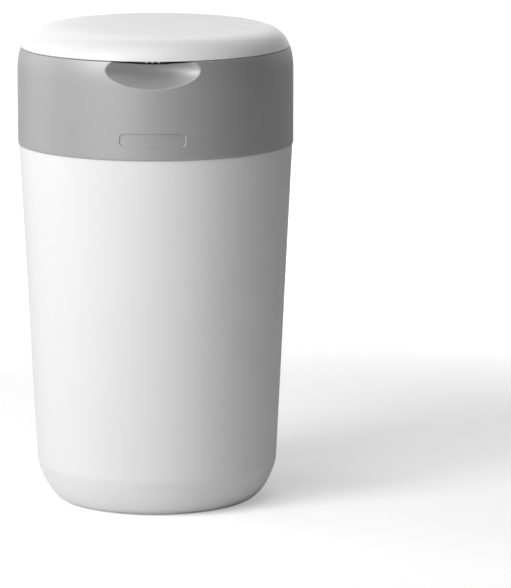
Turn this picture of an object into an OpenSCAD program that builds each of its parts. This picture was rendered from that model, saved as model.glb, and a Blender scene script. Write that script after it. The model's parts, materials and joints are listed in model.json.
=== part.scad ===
// Nappy bin: a tapered tub, a tilting top housing with a film cassette and twist ring, and a hinged lid.
// Millimetres, +Z up, origin on the floor under the middle of the bin, front towards -Y.

/* [Body] */
// Outer diameter of the grey band, the widest part of the bin
band_d = 252; // [250:1:254]
// Height of the whole bin, from the floor to the top of the lid
total_h = 439; // [437:1:441]
// Height of the band's lower edge, where the tub ends
band_z = 330.5; // [330:0.5:331]
// Height of the seam between the band and the lid
seam_z = 418.5; // [418:0.5:419]
// Tub diameter just under the band
tub_top_d = 250.2; // [249.6:0.2:250.6]
// Tub diameter at the crease where the wall turns under
tub_low_d = 220.5; // [216:0.5:226]
// Height of that crease
crease_z = 35.7; // [30:0.1:40]
// Diameter of the foot that stands on the floor
foot_d = 172; // [164:1:180]
// Wall thickness of the tub and the band
wall = 2.6; // [2.2:0.1:2.8]

/* [Finger scoop] */
// Half the width of the scoop at its widest
scoop_half_w = 43.4; // [40:0.1:45]
// How far the scoop reaches into the band
scoop_depth = 19; // [16:0.5:19]
// Height of the scoop's widest level
scoop_z = 411.7; // [410:0.1:413]
// Height from the scoop's lowest point to its widest level
scoop_drop = 17.4; // [15:0.1:19]

/* [Badge recess] */
// Width of the bare recess on the front of the band
badge_w = 60; // [50:1:66]
// Height of the recess
badge_h = 12.6; // [10:0.1:14]
// Height of the recess's middle above the floor
badge_z = 349.2; // [347:0.1:352]
// Depth of the recess
badge_depth = 0.6; // [0.4:0.1:0.8]

/* [Cassette] */
// Outer diameter of the cassette's cap
cap_d = 185; // [184:0.5:185.4]
// Inner diameter of the core that nappies are pushed through
core_d = 113; // [110:1:114]
// Height of the cassette's cap rim above its base
cassette_h = 66.7; // [65:0.1:67]
// Height of the neck's rim above the cassette's base
neck_h = 80; // [79:0.5:80.5]

/* [Mechanism] */
// Number of ratchet teeth on the twist ring
ratchet_teeth = 24; // [12:12:24]
// Number of drive slots in the cassette's cap
drive_slots = 6; // [3:3:6]
// Distance from the middle to each film flap's hinge
flap_hinge_r = 60; // [60:0.5:61]
// Turns on each flap's torsion spring
flap_spring_turns = 5; // [4:1:5]
// Turns on each release button's spring
button_spring_turns = 5; // [4:1:5]

/* [Hidden] */
$fn = 96;

// Shared radii and the smooth curve that runs up the shoulder of the band and over the lid
band_r = band_d / 2;
dome_z = 395;
dome_h = total_h - dome_z;
dome_square = 10;
dome_soft = 2.4;
dome_steps = 16;
seam_gap = 0.4;
lid_wall = 2.4;
big = 500;
past_r = 130;

function dome_point(t, inset) = [
    (band_r - inset) * pow(cos(t), 2 / dome_square),
    dome_z + (dome_h - inset) * pow(sin(t), 2 / dome_soft)
];
function dome_angle(z, inset) = asin(pow((z - dome_z) / (dome_h - inset), dome_soft / 2));
// Points of the dome curve from height z_low up to z_high, or to the middle of the lid
function dome_curve(z_low, z_high, inset) = let (
    from = dome_angle(z_low, inset),
    to = z_high >= total_h ? 90 : dome_angle(z_high, inset)
) [for (i = [0 : dome_steps]) dome_point(from + (to - from) * i / dome_steps, inset)];
function reversed(list) = [for (i = [len(list) - 1 : -1 : 0]) list[i]];
function polar(r, a) = [r * cos(a), r * sin(a)];

// Tub
crease_power = 1.55;
crease_steps = 12;
spigot_h = 11.5;
spigot_foot_r = 122.4;
spigot_top_r = 121.9;
spigot_inner_r = 119.5;
foot_ring_w = 12;
tub_floor_z = 4;

function tub_under(inset) = let (low_r = tub_low_d / 2 - inset, foot_r = foot_d / 2 - inset / 2) [
    for (i = [0 : crease_steps]) let (t = 90 * (1 - i / crease_steps)) [
        foot_r + (low_r - foot_r) * pow(cos(t), 2 / crease_power),
        inset + (crease_z - inset) * (1 - pow(sin(t), 2 / crease_power))
    ]
];

// Rear hinge on which the housing tilts
tilt_y = 121.9;
tilt_z = 327;
tilt_barrel_r = 4;
tilt_notch_x = 33.5;
tilt_middle_x = 21.5;
tilt_notch_z = 320.5;
tilt_wall_y = 116.5;
tilt_wall_t = 2.9;
tilt_pocket_x = tilt_notch_x + 2.5;
tilt_outer_x = [tilt_middle_x + 0.5, tilt_notch_x - 1];
pin_r = 2;
pin_play = 0.05;

// Rear hinge of the lid
lid_hinge_y = 119;
lid_hinge_z = 411.5;
lid_barrel_r = 4.6;
lid_notch_x = 32;
lid_notch_z = 403;
lid_lug_x = 7.5;
lid_lug_half_h = 3.5;
lid_pin_x = lid_notch_x + 2.4;
pocket_y = 105;
pocket_wall = 2.2;
pocket_x = lid_notch_x + pocket_wall;
pocket_side_x = lid_notch_x + 4;

// Deck inside the top of the band, and the ring that turns in it
deck_z = 412;
deck_t = 2.4;
deck_hole_r = 96;
rim_inner_r = 120.3;
collar_t = 2;
collar_z = 404;
holder_inner_r = 94;
holder_t = 2.2;
holder_floor_z = 322;
holder_floor_t = 2.4;
holder_top_z = 400.5;
holder_flange_r = 111;
holder_hole_r = 58;
twist_gap = 0.2;
twist_outer_r = 95.4;
tooth_depth = 1;

// Screws, all of one size
screw_head_r = 3.2;
screw_head_h = 1.8;
screw_shank_r = 1.5;
screw_hole_r = 1.55;
housing_screw_ring_r = 106;
clamp_screw_ring_r = 84;
screw_angles = [45, 135, 225, 315];

// Cassette, with its base just above the holder's floor
cassette_z = holder_floor_z + holder_floor_t + twist_gap;
cap_r = cap_d / 2;
core_r = core_d / 2;
core_t = 2;
cassette_wall_r = 86.5;
cassette_wall_t = 1.6;
cap_skirt_h = 20;
cap_skirt_flare_h = 8.4;
cap_upper_r = cap_r - 1.3;
cap_wall_t = 1.6;
cap_rim_r = 84.5;
slot_w = 12;
slot_h = 5.5;
slot_drop = 2.6;
panel_arc = 19;
panel_r = cassette_wall_r - 0.2;

// Film flaps under the holder
flap_z = 314;
flap_t = 2;
flap_knuckle_r = 3.2;
flap_pin_r = 1.5;
flap_play = 0.05;
flap_reach = flap_hinge_r - 4;
flap_tip = 4;
flap_gap = 0.8;
flap_stop_y = 49;
clamp_plate_r = 92;
clamp_plate_t = 2.4;
flap_angles = [0, 90, 180, 270];

// Side buttons that free the housing from the tub
button_z = 351;
button_w = 31;
button_h = 13;
button_lip = 3;
button_plate_r = 121.6;
button_stem_r = 112;
leg_inner_r = 116.2;
leg_outer_r = 118.9;
nose_r = 121.2;
nose_z = [333.6, 337];
catch_slot_y = 9;
catch_slot_play = 0.8;
leg_y = 7.5;

// Twist ring, and the rail inside it that the cutter runs on
rail_inner_r = 70.5;
rail_t = 1.9;
rail_z = 409;
rail_low_z = 394;
rail_flange_r = 75;
rail_gap = 0.2;
web_t = 2;
prong_r = 93.7;
prong_t = 0.9;
grip_r = [77, 91];
grip_w = 9;
grip_top_z = 424;
cutter_arc = 7.5;

// ---- shared shapes ----

module ring(outer_r, inner_r, z0, z1) {
    rotate_extrude() translate([inner_r, z0]) square([outer_r - inner_r, z1 - z0]);
}

// Revolved wedge of a ring, centred on the direction given in degrees from +X
module ring_sector(outer_r, inner_r, z0, z1, half_arc, direction) {
    rotate([0, 0, direction - half_arc])
        rotate_extrude(angle = 2 * half_arc)
            translate([inner_r, z0]) square([outer_r - inner_r, z1 - z0]);
}

module x_rod(r, x0, x1, y, z) {
    translate([x0, y, z]) rotate([0, 90, 0]) cylinder(r = r, h = x1 - x0, $fn = 48);
}

module block(low, high) {
    translate(low) cube(high - low);
}

module mirrored_x() {
    children();
    mirror([1, 0, 0]) children();
}

module rounded_rect(w, h, r) {
    square([w - 2 * r, h], center = true);
    square([w, h - 2 * r], center = true);
    for (sx = [-1, 1], sy = [-1, 1])
        translate([sx * (w / 2 - r), sy * (h / 2 - r)]) circle(r = r, $fn = 32);
}

// Screws whose heads, with a cross recess, face down
module screws(ring_r, head_z, shank_h) {
    for (a = screw_angles)
        rotate([0, 0, a]) translate([ring_r, 0, head_z]) difference() {
            union() {
                cylinder(r = screw_head_r, h = screw_head_h, $fn = 32);
                cylinder(r = screw_shank_r, h = screw_head_h + shank_h, $fn = 32);
            }
            cube([3.6, 0.8, 2], center = true);
            cube([0.8, 3.6, 2], center = true);
        }
}

module screw_holes(ring_r, z0, z1) {
    for (a = screw_angles)
        rotate([0, 0, a]) translate([ring_r, 0, z0]) cylinder(r = screw_hole_r, h = z1 - z0, $fn = 32);
}

// ---- coil springs, each one unbroken tube swept along a helix between two straight ends ----

coil_rings = 8;
coil_sides = 6;
flap_wire = 0.9;
flap_coil_r = 3;
flap_coil_pitch = 1.6;
flap_coil_turns = flap_spring_turns + 0.25;
button_wire = 1;
button_coil_r = 3.6;
spring_seat_r = holder_inner_r + holder_t + 3;
button_coil_pitch = (button_stem_r - spring_seat_r - 2 * button_wire) / button_spring_turns;

function helix_point(r, pitch, a) = [r * cos(a), r * sin(a), pitch * a / 360];
// Points along the wire: its start, the helix about +Z, and its end, each end given from the helix's own end
function coil_path(r, pitch, turns, start_leg, end_leg) = let (n = round(turns * coil_rings)) concat(
    [helix_point(r, pitch, 0) + start_leg],
    [for (i = [0 : n]) helix_point(r, pitch, 360 * turns * i / n)],
    [helix_point(r, pitch, 360 * turns) + end_leg]
);
function unit(v) = v / norm(v);
function path_way(path, i) = unit(path[min(i + 1, len(path) - 1)] - path[max(i - 1, 0)]);
function tube_ring(path, i, wire) = let (
    way = path_way(path, i),
    side = unit(cross([path[i].x, path[i].y, 0], way)),
    up = cross(way, side)
) [
    for (k = [0 : coil_sides - 1]) let (a = 360 * k / coil_sides)
        path[i] + wire / 2 * (cos(a) * side + sin(a) * up)
];
function tube_faces(n) = concat(
    [for (k = [1 : coil_sides - 2]) [0, k, k + 1]],
    [for (i = [0 : n - 2], k = [0 : coil_sides - 1]) let (a = i * coil_sides, b = (k + 1) % coil_sides)
        each [[a + k, a + coil_sides + k, a + coil_sides + b], [a + k, a + coil_sides + b, a + b]]],
    [for (k = [1 : coil_sides - 2]) let (a = (n - 1) * coil_sides) [a, a + k + 1, a + k]]
);
// Least distance between points of the wire's middle line that lie most of a turn apart, less the wire
function coil_gap(path, wire) = min([
    for (i = [0 : len(path) - 1], j = [i + coil_rings - 2 : 1 : len(path) - 1]) norm(path[i] - path[j])
]) - wire;

module coil(path, wire) {
    polyhedron(
        points = [for (i = [0 : len(path) - 1]) each tube_ring(path, i, wire)],
        faces = tube_faces(len(path))
    );
}

// A flap's spring stands on the clamp plate with one leg and bears on the flap's stop with the other
flap_spring_path = coil_path(flap_coil_r, flap_coil_pitch, flap_coil_turns,
    [0, flap_z - holder_floor_z + 0.1 + clamp_plate_t, 0], [flap_stop_y - flap_hinge_r, 0, 0]);
button_spring_path = coil_path(button_coil_r, button_coil_pitch, button_spring_turns,
    [0, 0, -button_wire], [0, 0, button_wire]);

echo(flap_spring_least_gap = coil_gap(flap_spring_path, flap_wire));
echo(button_spring_least_gap = coil_gap(button_spring_path, button_wire));

// ---- tub ----

module tub_profile() {
    inner_low_r = tub_low_d / 2 - wall;
    inner_slope = (tub_top_d - tub_low_d) / 2 / (band_z - crease_z);
    shoulder_z = band_z - 16;
    shoulder_r = inner_low_r + inner_slope * (shoulder_z - crease_z);
    polygon(concat(
        [[0, tub_floor_z], [foot_d / 2 - foot_ring_w, tub_floor_z], [foot_d / 2 - foot_ring_w + 1, 0]],
        tub_under(0),
        [
            [tub_top_d / 2, band_z], [spigot_foot_r, band_z], [spigot_top_r, band_z + spigot_h],
            [spigot_inner_r, band_z + spigot_h], [spigot_inner_r + 0.2, band_z - 4],
            [shoulder_r, shoulder_z]
        ],
        reversed(tub_under(wall + 0.4)),
        [[0, tub_floor_z + wall]]
    ));
}

module tub() {
    color("white") difference() {
        union() {
            difference() {
                union() {
                    rotate_extrude() tub_profile();
                    // Pocket that closes off the rear hinge from the inside
                    intersection() {
                        block([-tilt_pocket_x, tilt_wall_y - tilt_wall_t, tilt_notch_z - 3],
                            [tilt_pocket_x, past_r, band_z + spigot_h]);
                        cylinder(r = spigot_inner_r + 1, h = big);
                    }
                }
                block([-tilt_notch_x, tilt_wall_y, tilt_notch_z], [tilt_notch_x, past_r, big]);
            }
            // Outer knuckles of the tilt hinge, one each side of the housing's own
            mirrored_x() {
                x_rod(tilt_barrel_r, tilt_outer_x[0], tilt_outer_x[1], tilt_y, tilt_z);
                block([tilt_outer_x[0], tilt_wall_y - 0.5, tilt_z - tilt_barrel_r],
                    [tilt_outer_x[1], tilt_y, tilt_z + tilt_barrel_r]);
                block([tilt_outer_x[0], tilt_wall_y, tilt_notch_z - 0.5],
                    [tilt_outer_x[1], tilt_y + 1, tilt_z]);
            }
        }
        x_rod(pin_r + pin_play, -tilt_notch_x, tilt_notch_x, tilt_y, tilt_z);
        // Open slots at the sides for the noses of the release buttons
        mirrored_x() block([leg_outer_r, -catch_slot_y, nose_z[0] - catch_slot_play],
            [past_r, catch_slot_y, big]);
    }
}

module tilt_hinge_pin() {
    color("silver") x_rod(pin_r, -tilt_notch_x + 1.5, tilt_notch_x - 1.5, tilt_y, tilt_z);
}

// ---- top housing ----

scoop_hub_y = (pow(band_r, 2) - pow(band_r - scoop_depth, 2))
    / (2 * (sqrt(pow(band_r, 2) - pow(scoop_half_w, 2)) - band_r + scoop_depth));
scoop_steps = 14;
scoop_wall = 2.2;
scoop_top_z = 420;
scoop_back_z = 418;

function scoop_r(z, extra) = scoop_hub_y - band_r
    + (scoop_depth + extra) * (1 - pow((z - scoop_z) / (scoop_drop + extra), 2));

// Solid that the scoop takes out, or with extra, the scoop and its wall
module scoop_solid(extra, top_z) {
    low_z = scoop_z - scoop_drop - extra;
    step = (top_z - low_z) / scoop_steps;
    translate([0, -scoop_hub_y, 0]) rotate_extrude($fn = 180) polygon(concat(
        [[0, low_z]],
        [for (i = [0 : scoop_steps]) let (z = low_z + i * step) [scoop_r(z, extra), z]],
        [[0, top_z]]
    ));
}

module band_profile() {
    polygon(concat(
        [[band_r - wall, band_z], [band_r, band_z]],
        dome_curve(dome_z, seam_z, 0),
        [[rim_inner_r, seam_z], [rim_inner_r - 0.6, deck_z], [deck_hole_r, deck_z]],
        [
            [deck_hole_r, collar_z], [deck_hole_r + collar_t, collar_z],
            [deck_hole_r + collar_t, deck_z - deck_t]
        ],
        [[rim_inner_r - 1, deck_z - deck_t], [band_r - wall, 402]]
    ));
}

// Everything under the band's skin, from below the scoop up to the seam
module inside_shoulder() {
    rotate_extrude() polygon([
        [0, dome_z - 20], [band_r - wall / 2, dome_z - 20], [band_r - wall / 2, dome_z + 5],
        [rim_inner_r + 1.2, seam_z], [0, seam_z]
    ]);
}

module housing_boss(angle) {
    rotate([0, 0, angle]) translate([housing_screw_ring_r, 0, holder_top_z])
        cylinder(r = 4, h = deck_z - 1 - holder_top_z, $fn = 32);
}

module lid_pocket() {
    // Floor, front wall and sides round the lid hinge
    floor_z = lid_notch_z - pocket_wall;
    block([-pocket_x, pocket_y, floor_z], [pocket_x, past_r, lid_notch_z]);
    block([-pocket_x, pocket_y, floor_z], [pocket_x, pocket_y + pocket_wall, deck_z]);
    mirrored_x() block([lid_notch_x, pocket_y, floor_z], [pocket_side_x, past_r, seam_z]);
}

module top_housing() {
    color("gray") difference() {
        union() {
            difference() {
                union() {
                    rotate_extrude($fn = 180) band_profile();
                    // Wall behind the finger scoop, and the pocket of the lid hinge
                    intersection() {
                        scoop_solid(scoop_wall, scoop_back_z);
                        inside_shoulder();
                    }
                    intersection() {
                        lid_pocket();
                        inside_shoulder();
                    }
                    for (a = screw_angles) housing_boss(a);
                }
                scoop_solid(0, scoop_top_z);
                block([-lid_notch_x, pocket_y + pocket_wall, lid_notch_z],
                    [lid_notch_x, past_r, scoop_top_z]);
                // Relief over the tub's hinge knuckles
                block([-tilt_notch_x, tilt_y - 12, band_z - 1], [tilt_notch_x, past_r, tilt_z + 6]);
            }
            // Middle lug of the lid hinge
            block([-lid_lug_x, pocket_y + 1, lid_hinge_z - lid_lug_half_h],
                [lid_lug_x, lid_hinge_y, lid_hinge_z + lid_lug_half_h]);
            x_rod(lid_barrel_r, -lid_lug_x, lid_lug_x, lid_hinge_y, lid_hinge_z);
            // Middle knuckle of the tilt hinge, with its web up to the band
            x_rod(tilt_barrel_r, -tilt_middle_x, tilt_middle_x, tilt_y, tilt_z);
            intersection() {
                block([-tilt_middle_x, tilt_wall_y + 2, tilt_z], [tilt_middle_x, past_r, tilt_z + 12]);
                cylinder(r = band_r, h = big * 2);
            }
        }
        x_rod(pin_r + pin_play, -lid_pin_x - 0.2, lid_pin_x + 0.2, lid_hinge_y, lid_hinge_z);
        x_rod(pin_r + pin_play, -tilt_notch_x, tilt_notch_x, tilt_y, tilt_z);
        screw_holes(housing_screw_ring_r, holder_top_z - 1, deck_z - 2.5);
        // Bare badge recess on the front
        intersection() {
            translate([0, 0, badge_z]) rotate([90, 0, 0])
                linear_extrude(big) rounded_rect(badge_w, badge_h, 4);
            ring(band_r + 2, band_r - badge_depth, badge_z - badge_h, badge_z + badge_h);
        }
        // Windows for the release buttons
        for (side = [-1, 1])
            translate([0, 0, button_z]) rotate([0, side * 90, 0]) linear_extrude(big)
                rounded_rect(button_h + 0.8, button_w + 0.8, 4);
    }
}

module lid_hinge_pin() {
    color("silver") x_rod(pin_r, -lid_pin_x, lid_pin_x, lid_hinge_y, lid_hinge_z);
}

// ---- cassette holder and its screws ----

module cassette_holder() {
    outer_r = holder_inner_r + holder_t;
    color("gainsboro") difference() {
        union() {
            rotate_extrude() polygon([
                [holder_hole_r, holder_floor_z], [outer_r - 4, holder_floor_z], [outer_r, holder_floor_z + 4],
                [outer_r, holder_top_z - 2.4], [holder_flange_r, holder_top_z - 2.4],
                [holder_flange_r, holder_top_z], [holder_inner_r, holder_top_z],
                [holder_inner_r, holder_floor_z + holder_floor_t],
                [holder_hole_r, holder_floor_z + holder_floor_t]
            ]);
            // Flat seats for the release button springs
            mirrored_x() block([outer_r - 1, -6, button_z - 6], [spring_seat_r, 6, button_z + 6]);
        }
        screw_holes(housing_screw_ring_r, holder_top_z - 4, holder_top_z + 1);
        screw_holes(clamp_screw_ring_r, holder_floor_z - 1, holder_floor_z + holder_floor_t - 0.6);
        // Clear the scoop's wall and the hinge pocket
        scoop_solid(scoop_wall + 0.4, scoop_top_z);
        block([-pocket_side_x, pocket_y - 0.5, lid_notch_z - 6], [pocket_side_x, past_r, lid_notch_z]);
    }
}

module housing_screws() {
    color("silver") screws(housing_screw_ring_r, holder_top_z - 2.4 - screw_head_h, 9);
}

module clamp_screws() {
    color("silver") screws(clamp_screw_ring_r, holder_floor_z - 0.1 - clamp_plate_t - screw_head_h, 3.8);
}

// Spring arm whose nose drops between two ratchet teeth
module ratchet_pawl() {
    color("dimgray") rotate([0, 0, 150]) {
        ring_sector(104, 98.8, holder_top_z, deck_z - deck_t, 1.6, 14);
        ring_sector(100.4, 99, holder_top_z + 0.2, collar_z - 0.4, 7, 7);
        ring_sector(100.4, twist_outer_r + 0.2, holder_top_z + 0.2, collar_z - 0.4, 0.7, 0);
    }
}

// ---- film clamp ----

module film_clamp_plate() {
    top_z = holder_floor_z - 0.1;
    opening = flap_hinge_r + 4;
    color("darkgray") difference() {
        union() {
            difference() {
                translate([0, 0, top_z - clamp_plate_t]) cylinder(r = clamp_plate_r, h = clamp_plate_t);
                translate([0, 0, top_z]) cube([2 * flap_reach + 2, 2 * flap_reach + 2, 20], center = true);
            }
            // Lugs that carry the flap pins
            for (a = flap_angles, x = [-44.4, -17, 13, 40.4]) rotate([0, 0, a]) {
                x_rod(flap_knuckle_r, x, x + 4, flap_hinge_r, flap_z);
                block([x, flap_hinge_r - 2.6, flap_z], [x + 4, opening, top_z - 1]);
            }
        }
        for (a = flap_angles) rotate([0, 0, a])
            x_rod(flap_pin_r + flap_play, -46, 46, flap_hinge_r, flap_z);
        screw_holes(clamp_screw_ring_r, top_z - clamp_plate_t - 1, top_z + 1);
    }
}

module film_flap(angle) {
    color("lightgray") rotate([0, 0, angle]) difference() {
        union() {
            translate([0, 0, flap_z - flap_t / 2]) linear_extrude(flap_t) polygon([
                [flap_reach - flap_gap, flap_reach], [flap_tip, flap_tip + flap_gap],
                [-flap_tip, flap_tip + flap_gap], [-flap_reach + flap_gap, flap_reach]
            ]);
            mirrored_x() {
                x_rod(flap_knuckle_r, 18, 39.4, flap_hinge_r, flap_z);
                block([18, flap_hinge_r - 6, flap_z - 1], [39.4, flap_hinge_r, flap_z + 1]);
                // Stiffening rib down each half of the flap
                block([22, 27, flap_z - 4], [23.6, flap_reach - 3, flap_z]);
            }
            // Middle rib, and the stop that the spring's leg bears on
            block([-0.8, 10, flap_z - 4], [0.8, flap_stop_y, flap_z]);
            block([-6, flap_stop_y - 2, flap_z - 4.5], [6, flap_stop_y, flap_z]);
        }
        x_rod(flap_pin_r + flap_play, -46, 46, flap_hinge_r, flap_z);
    }
}

module flap_front() { film_flap(180); }
module flap_back() { film_flap(0); }
module flap_left() { film_flap(90); }
module flap_right() { film_flap(270); }

module flap_pins() {
    color("silver") for (a = flap_angles) rotate([0, 0, a]) x_rod(flap_pin_r, -44, 44, flap_hinge_r, flap_z);
}

module flap_spring(angle) {
    length = flap_coil_pitch * flap_coil_turns;
    color("silver") rotate([0, 0, angle]) translate([length / 2, flap_hinge_r, flap_z])
        rotate([-90, 0, 0]) rotate([0, -90, 0]) coil(flap_spring_path, flap_wire);
}

module flap_spring_front() { flap_spring(180); }
module flap_spring_back() { flap_spring(0); }
module flap_spring_left() { flap_spring(90); }
module flap_spring_right() { flap_spring(270); }

// ---- release buttons ----

module release_button(side) {
    color("dimgray") rotate([0, 0, side > 0 ? 0 : 180]) {
        // Push plate flush with the band, and the lip that keeps it in its window
        button_plate(band_r - 0.1, button_h, button_w, 3.6);
        button_plate(band_r - wall - 0.2, button_h + button_lip, button_w + button_lip, 5);
        block([button_stem_r, -4, button_z - 4], [button_plate_r + 1, 4, button_z + 4]);
        // Leg inside the tub's rim, and the nose that catches in the rim's slot
        block([leg_inner_r, -leg_y, nose_z[0]], [leg_outer_r, leg_y, button_z]);
        block([leg_inner_r, -leg_y, nose_z[0]], [nose_r, leg_y, nose_z[1]]);
    }
}

module button_plate(outer_r, h, w, corner_r) {
    intersection() {
        ring(outer_r, button_plate_r, button_z - h, button_z + h);
        translate([100, 0, button_z]) rotate([0, 90, 0]) linear_extrude(40) rounded_rect(h, w, corner_r);
    }
}

module release_button_left() { release_button(-1); }
module release_button_right() { release_button(1); }

module release_spring(side) {
    color("silver") rotate([0, 0, side > 0 ? 0 : 180])
        translate([spring_seat_r + button_wire, 0, button_z]) rotate([0, 90, 0])
            coil(button_spring_path, button_wire);
}

module release_spring_left() { release_spring(-1); }
module release_spring_right() { release_spring(1); }

// ---- lid ----

module lid_envelope() {
    rotate_extrude($fn = 180) polygon(concat(
        [[0, lid_notch_z - 5], [122.4, lid_notch_z - 5], [122.4, seam_z + seam_gap]],
        dome_curve(seam_z + seam_gap, total_h, 0)
    ));
}

module lid_shell() {
    low_z = seam_z + seam_gap;
    color("white") difference() {
        union() {
            rotate_extrude($fn = 180) polygon(concat(
                dome_curve(low_z, total_h, 0),
                reversed(dome_curve(low_z, total_h, lid_wall))
            ));
            // Knuckles of the hinge, with webs up to the shell
            intersection() {
                lid_envelope();
                mirrored_x() {
                    x_rod(lid_barrel_r, lid_lug_x + 0.7, lid_notch_x - 0.8, lid_hinge_y, lid_hinge_z);
                    block([lid_lug_x + 0.7, lid_hinge_y - 3.4, lid_hinge_z],
                        [lid_notch_x - 0.8, lid_hinge_y + 3, lid_hinge_z + 14]);
                }
            }
            // Small ribs under the front lip for the fingertips
            for (x = [-6, 0, 6]) block([x - 0.8, -121.6, low_z - 0.8], [x + 0.8, -119.6, low_z + 1]);
        }
        x_rod(pin_r + pin_play, -lid_notch_x, lid_notch_x, lid_hinge_y, lid_hinge_z);
    }
}

seal_r = [98, 101.6];
seal_gap = 0.4;
seal_low_z = deck_z + 2;
liner_r = 112;
liner_t = 1.8;
liner_z = 427;
liner_stud_r = 70;
liner_stud_z = 436.4;
carrier_wall_t = 1.5;
carrier_low_z = 416;
carrier_groove_z = liner_z - 5;

// Flat disc that closes the lid from below, on four studs under the shell
module lid_liner() {
    color("whitesmoke") {
        translate([0, 0, liner_z]) cylinder(r = liner_r, h = liner_t);
        for (a = screw_angles) rotate([0, 0, a])
            translate([liner_stud_r, 0, liner_z + 1])
                cylinder(r = 3, h = liner_stud_z - liner_z - 1, $fn = 32);
    }
}

// Ring under the liner whose groove holds the seal
module seal_carrier() {
    groove_r = [seal_r[0] - seal_gap, seal_r[1] + seal_gap];
    color("whitesmoke") rotate_extrude() polygon([
        [groove_r[0] - carrier_wall_t, liner_z], [groove_r[0] - carrier_wall_t, carrier_low_z],
        [groove_r[0], carrier_low_z], [groove_r[0], carrier_groove_z], [groove_r[1], carrier_groove_z],
        [groove_r[1], carrier_low_z], [groove_r[1] + carrier_wall_t, carrier_low_z],
        [groove_r[1] + carrier_wall_t, liner_z]
    ]);
}

module lid_seal() {
    lip_r = (seal_r[1] - seal_r[0]) / 2;
    color("dimgray") rotate_extrude() {
        translate([seal_r[0], seal_low_z]) square([2 * lip_r, carrier_groove_z - 0.1 - seal_low_z]);
        translate([seal_r[0] + lip_r, seal_low_z]) circle(r = lip_r, $fn = 32);
    }
}

// ---- twist ring, cassette and cutter ----

module twist_profile() {
    web_z = holder_top_z + twist_gap;
    web_inner_r = rail_inner_r + rail_t + rail_gap;
    bowl_r = 88.6;
    tooth_root_r = twist_outer_r - tooth_depth;
    polygon([
        [web_inner_r, web_z], [tooth_root_r, web_z],
        [tooth_root_r, collar_z + 0.4], [twist_outer_r, collar_z + 0.4], [twist_outer_r, deck_z],
        [twist_outer_r - 1.6, deck_z + 0.6], [twist_outer_r - 3, deck_z - 2], [bowl_r, web_z + web_t],
        [web_inner_r, web_z + web_t]
    ]);
}

// Rail that stands in the ring's opening, held by a flange under the web
module cutter_rail() {
    outer_r = rail_inner_r + rail_t;
    flange_z = holder_top_z + twist_gap;
    color("darkgray") rotate_extrude() polygon([
        [rail_inner_r, rail_low_z], [outer_r, rail_low_z], [outer_r, flange_z - 2],
        [rail_flange_r, flange_z - 2], [rail_flange_r, flange_z], [outer_r, flange_z],
        [outer_r, rail_z], [rail_inner_r, rail_z]
    ]);
}

// One sawtooth of the ratchet, its steep side ahead
module ratchet_tooth() {
    inside_r = twist_outer_r - tooth_depth - 0.6;
    tip_r = twist_outer_r - 0.1;
    linear_extrude(collar_z + 1 - holder_top_z - twist_gap)
        polygon([polar(inside_r, -4), polar(tip_r, 1.8), polar(tip_r, 2.4), polar(inside_r, 2.8)]);
}

// Upright grip for the fingers, with a round top
module finger_grip() {
    base_z = holder_top_z + twist_gap + 1;
    half = (grip_r[1] - grip_r[0]) / 2;
    translate([grip_r[0] + half, grip_w / 2, 0]) rotate([90, 0, 0]) linear_extrude(grip_w) {
        translate([-half, base_z]) square([2 * half, grip_top_z - half - base_z]);
        translate([0, grip_top_z - half]) circle(r = half, $fn = 48);
    }
}

// Prong that reaches down past the cap and hooks into one of its slots
module drive_prong() {
    slot_top_z = cassette_z + cassette_h - slot_drop;
    hook_low_z = slot_top_z - slot_h + 0.4;
    ring_sector(prong_r, prong_r - prong_t, hook_low_z, holder_top_z + twist_gap + 1, 3.3, 0);
    ring_sector(prong_r - prong_t / 2, cap_upper_r - cap_wall_t + 0.3, hook_low_z, slot_top_z - 0.4, 3.3, 0);
}

module twist_ring() {
    color("darkgray") {
        rotate_extrude() twist_profile();
        for (i = [0 : ratchet_teeth - 1]) rotate([0, 0, (i + 0.5) * 360 / ratchet_teeth])
            translate([0, 0, holder_top_z + twist_gap]) ratchet_tooth();
        for (a = [0, 90, 180, 270]) rotate([0, 0, a]) finger_grip();
        for (i = [0 : drive_slots - 1]) rotate([0, 0, 30 + i * 360 / drive_slots]) drive_prong();
    }
}

module cassette_body() {
    floor_z = cassette_z + 1.6;
    rim_z = cassette_z + cassette_h - 2;
    color("slategray") difference() {
        rotate_extrude() polygon([
            [core_r, cassette_z], [cassette_wall_r - 2, cassette_z], [cassette_wall_r, cassette_z + 2],
            [cassette_wall_r + 1.4, rim_z], [cassette_wall_r + 1.4 - cassette_wall_t, rim_z],
            [cassette_wall_r - cassette_wall_t, floor_z], [core_r + core_t, floor_z],
            [core_r + core_t, cassette_z + neck_h - 3], [core_r + core_t + 0.8, cassette_z + neck_h - 1.5],
            [core_r + core_t, cassette_z + neck_h], [core_r, cassette_z + neck_h]
        ]);
        // Shallow panels in the outer wall, one under each drive slot
        for (i = [0 : drive_slots - 1])
            ring_sector(cassette_wall_r + 3, panel_r, cassette_z + 3,
                cassette_z + cassette_h - cap_skirt_h, panel_arc / 2, 30 + i * 360 / drive_slots);
    }
}

module cassette_cap() {
    top_z = cassette_z + cassette_h;
    low_z = top_z - cap_skirt_h;
    flare_z = low_z + cap_skirt_flare_h;
    inner_r = cap_upper_r - cap_wall_t;
    color("slategray") difference() {
        rotate_extrude() polygon([
            [cap_r - cap_wall_t, low_z], [cap_r, low_z], [cap_upper_r, flare_z], [cap_upper_r, top_z - 2],
            [cap_upper_r - 2, top_z], [cap_rim_r, top_z], [cap_rim_r, top_z - cap_wall_t],
            [inner_r, top_z - cap_wall_t], [inner_r, flare_z]
        ]);
        for (i = [0 : drive_slots - 1]) rotate([0, 0, 30 + i * 360 / drive_slots])
            block([inner_r - 2, -slot_w / 2, top_z - slot_drop - slot_h],
                [cap_r + 2, slot_w / 2, top_z - slot_drop]);
    }
}

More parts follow.
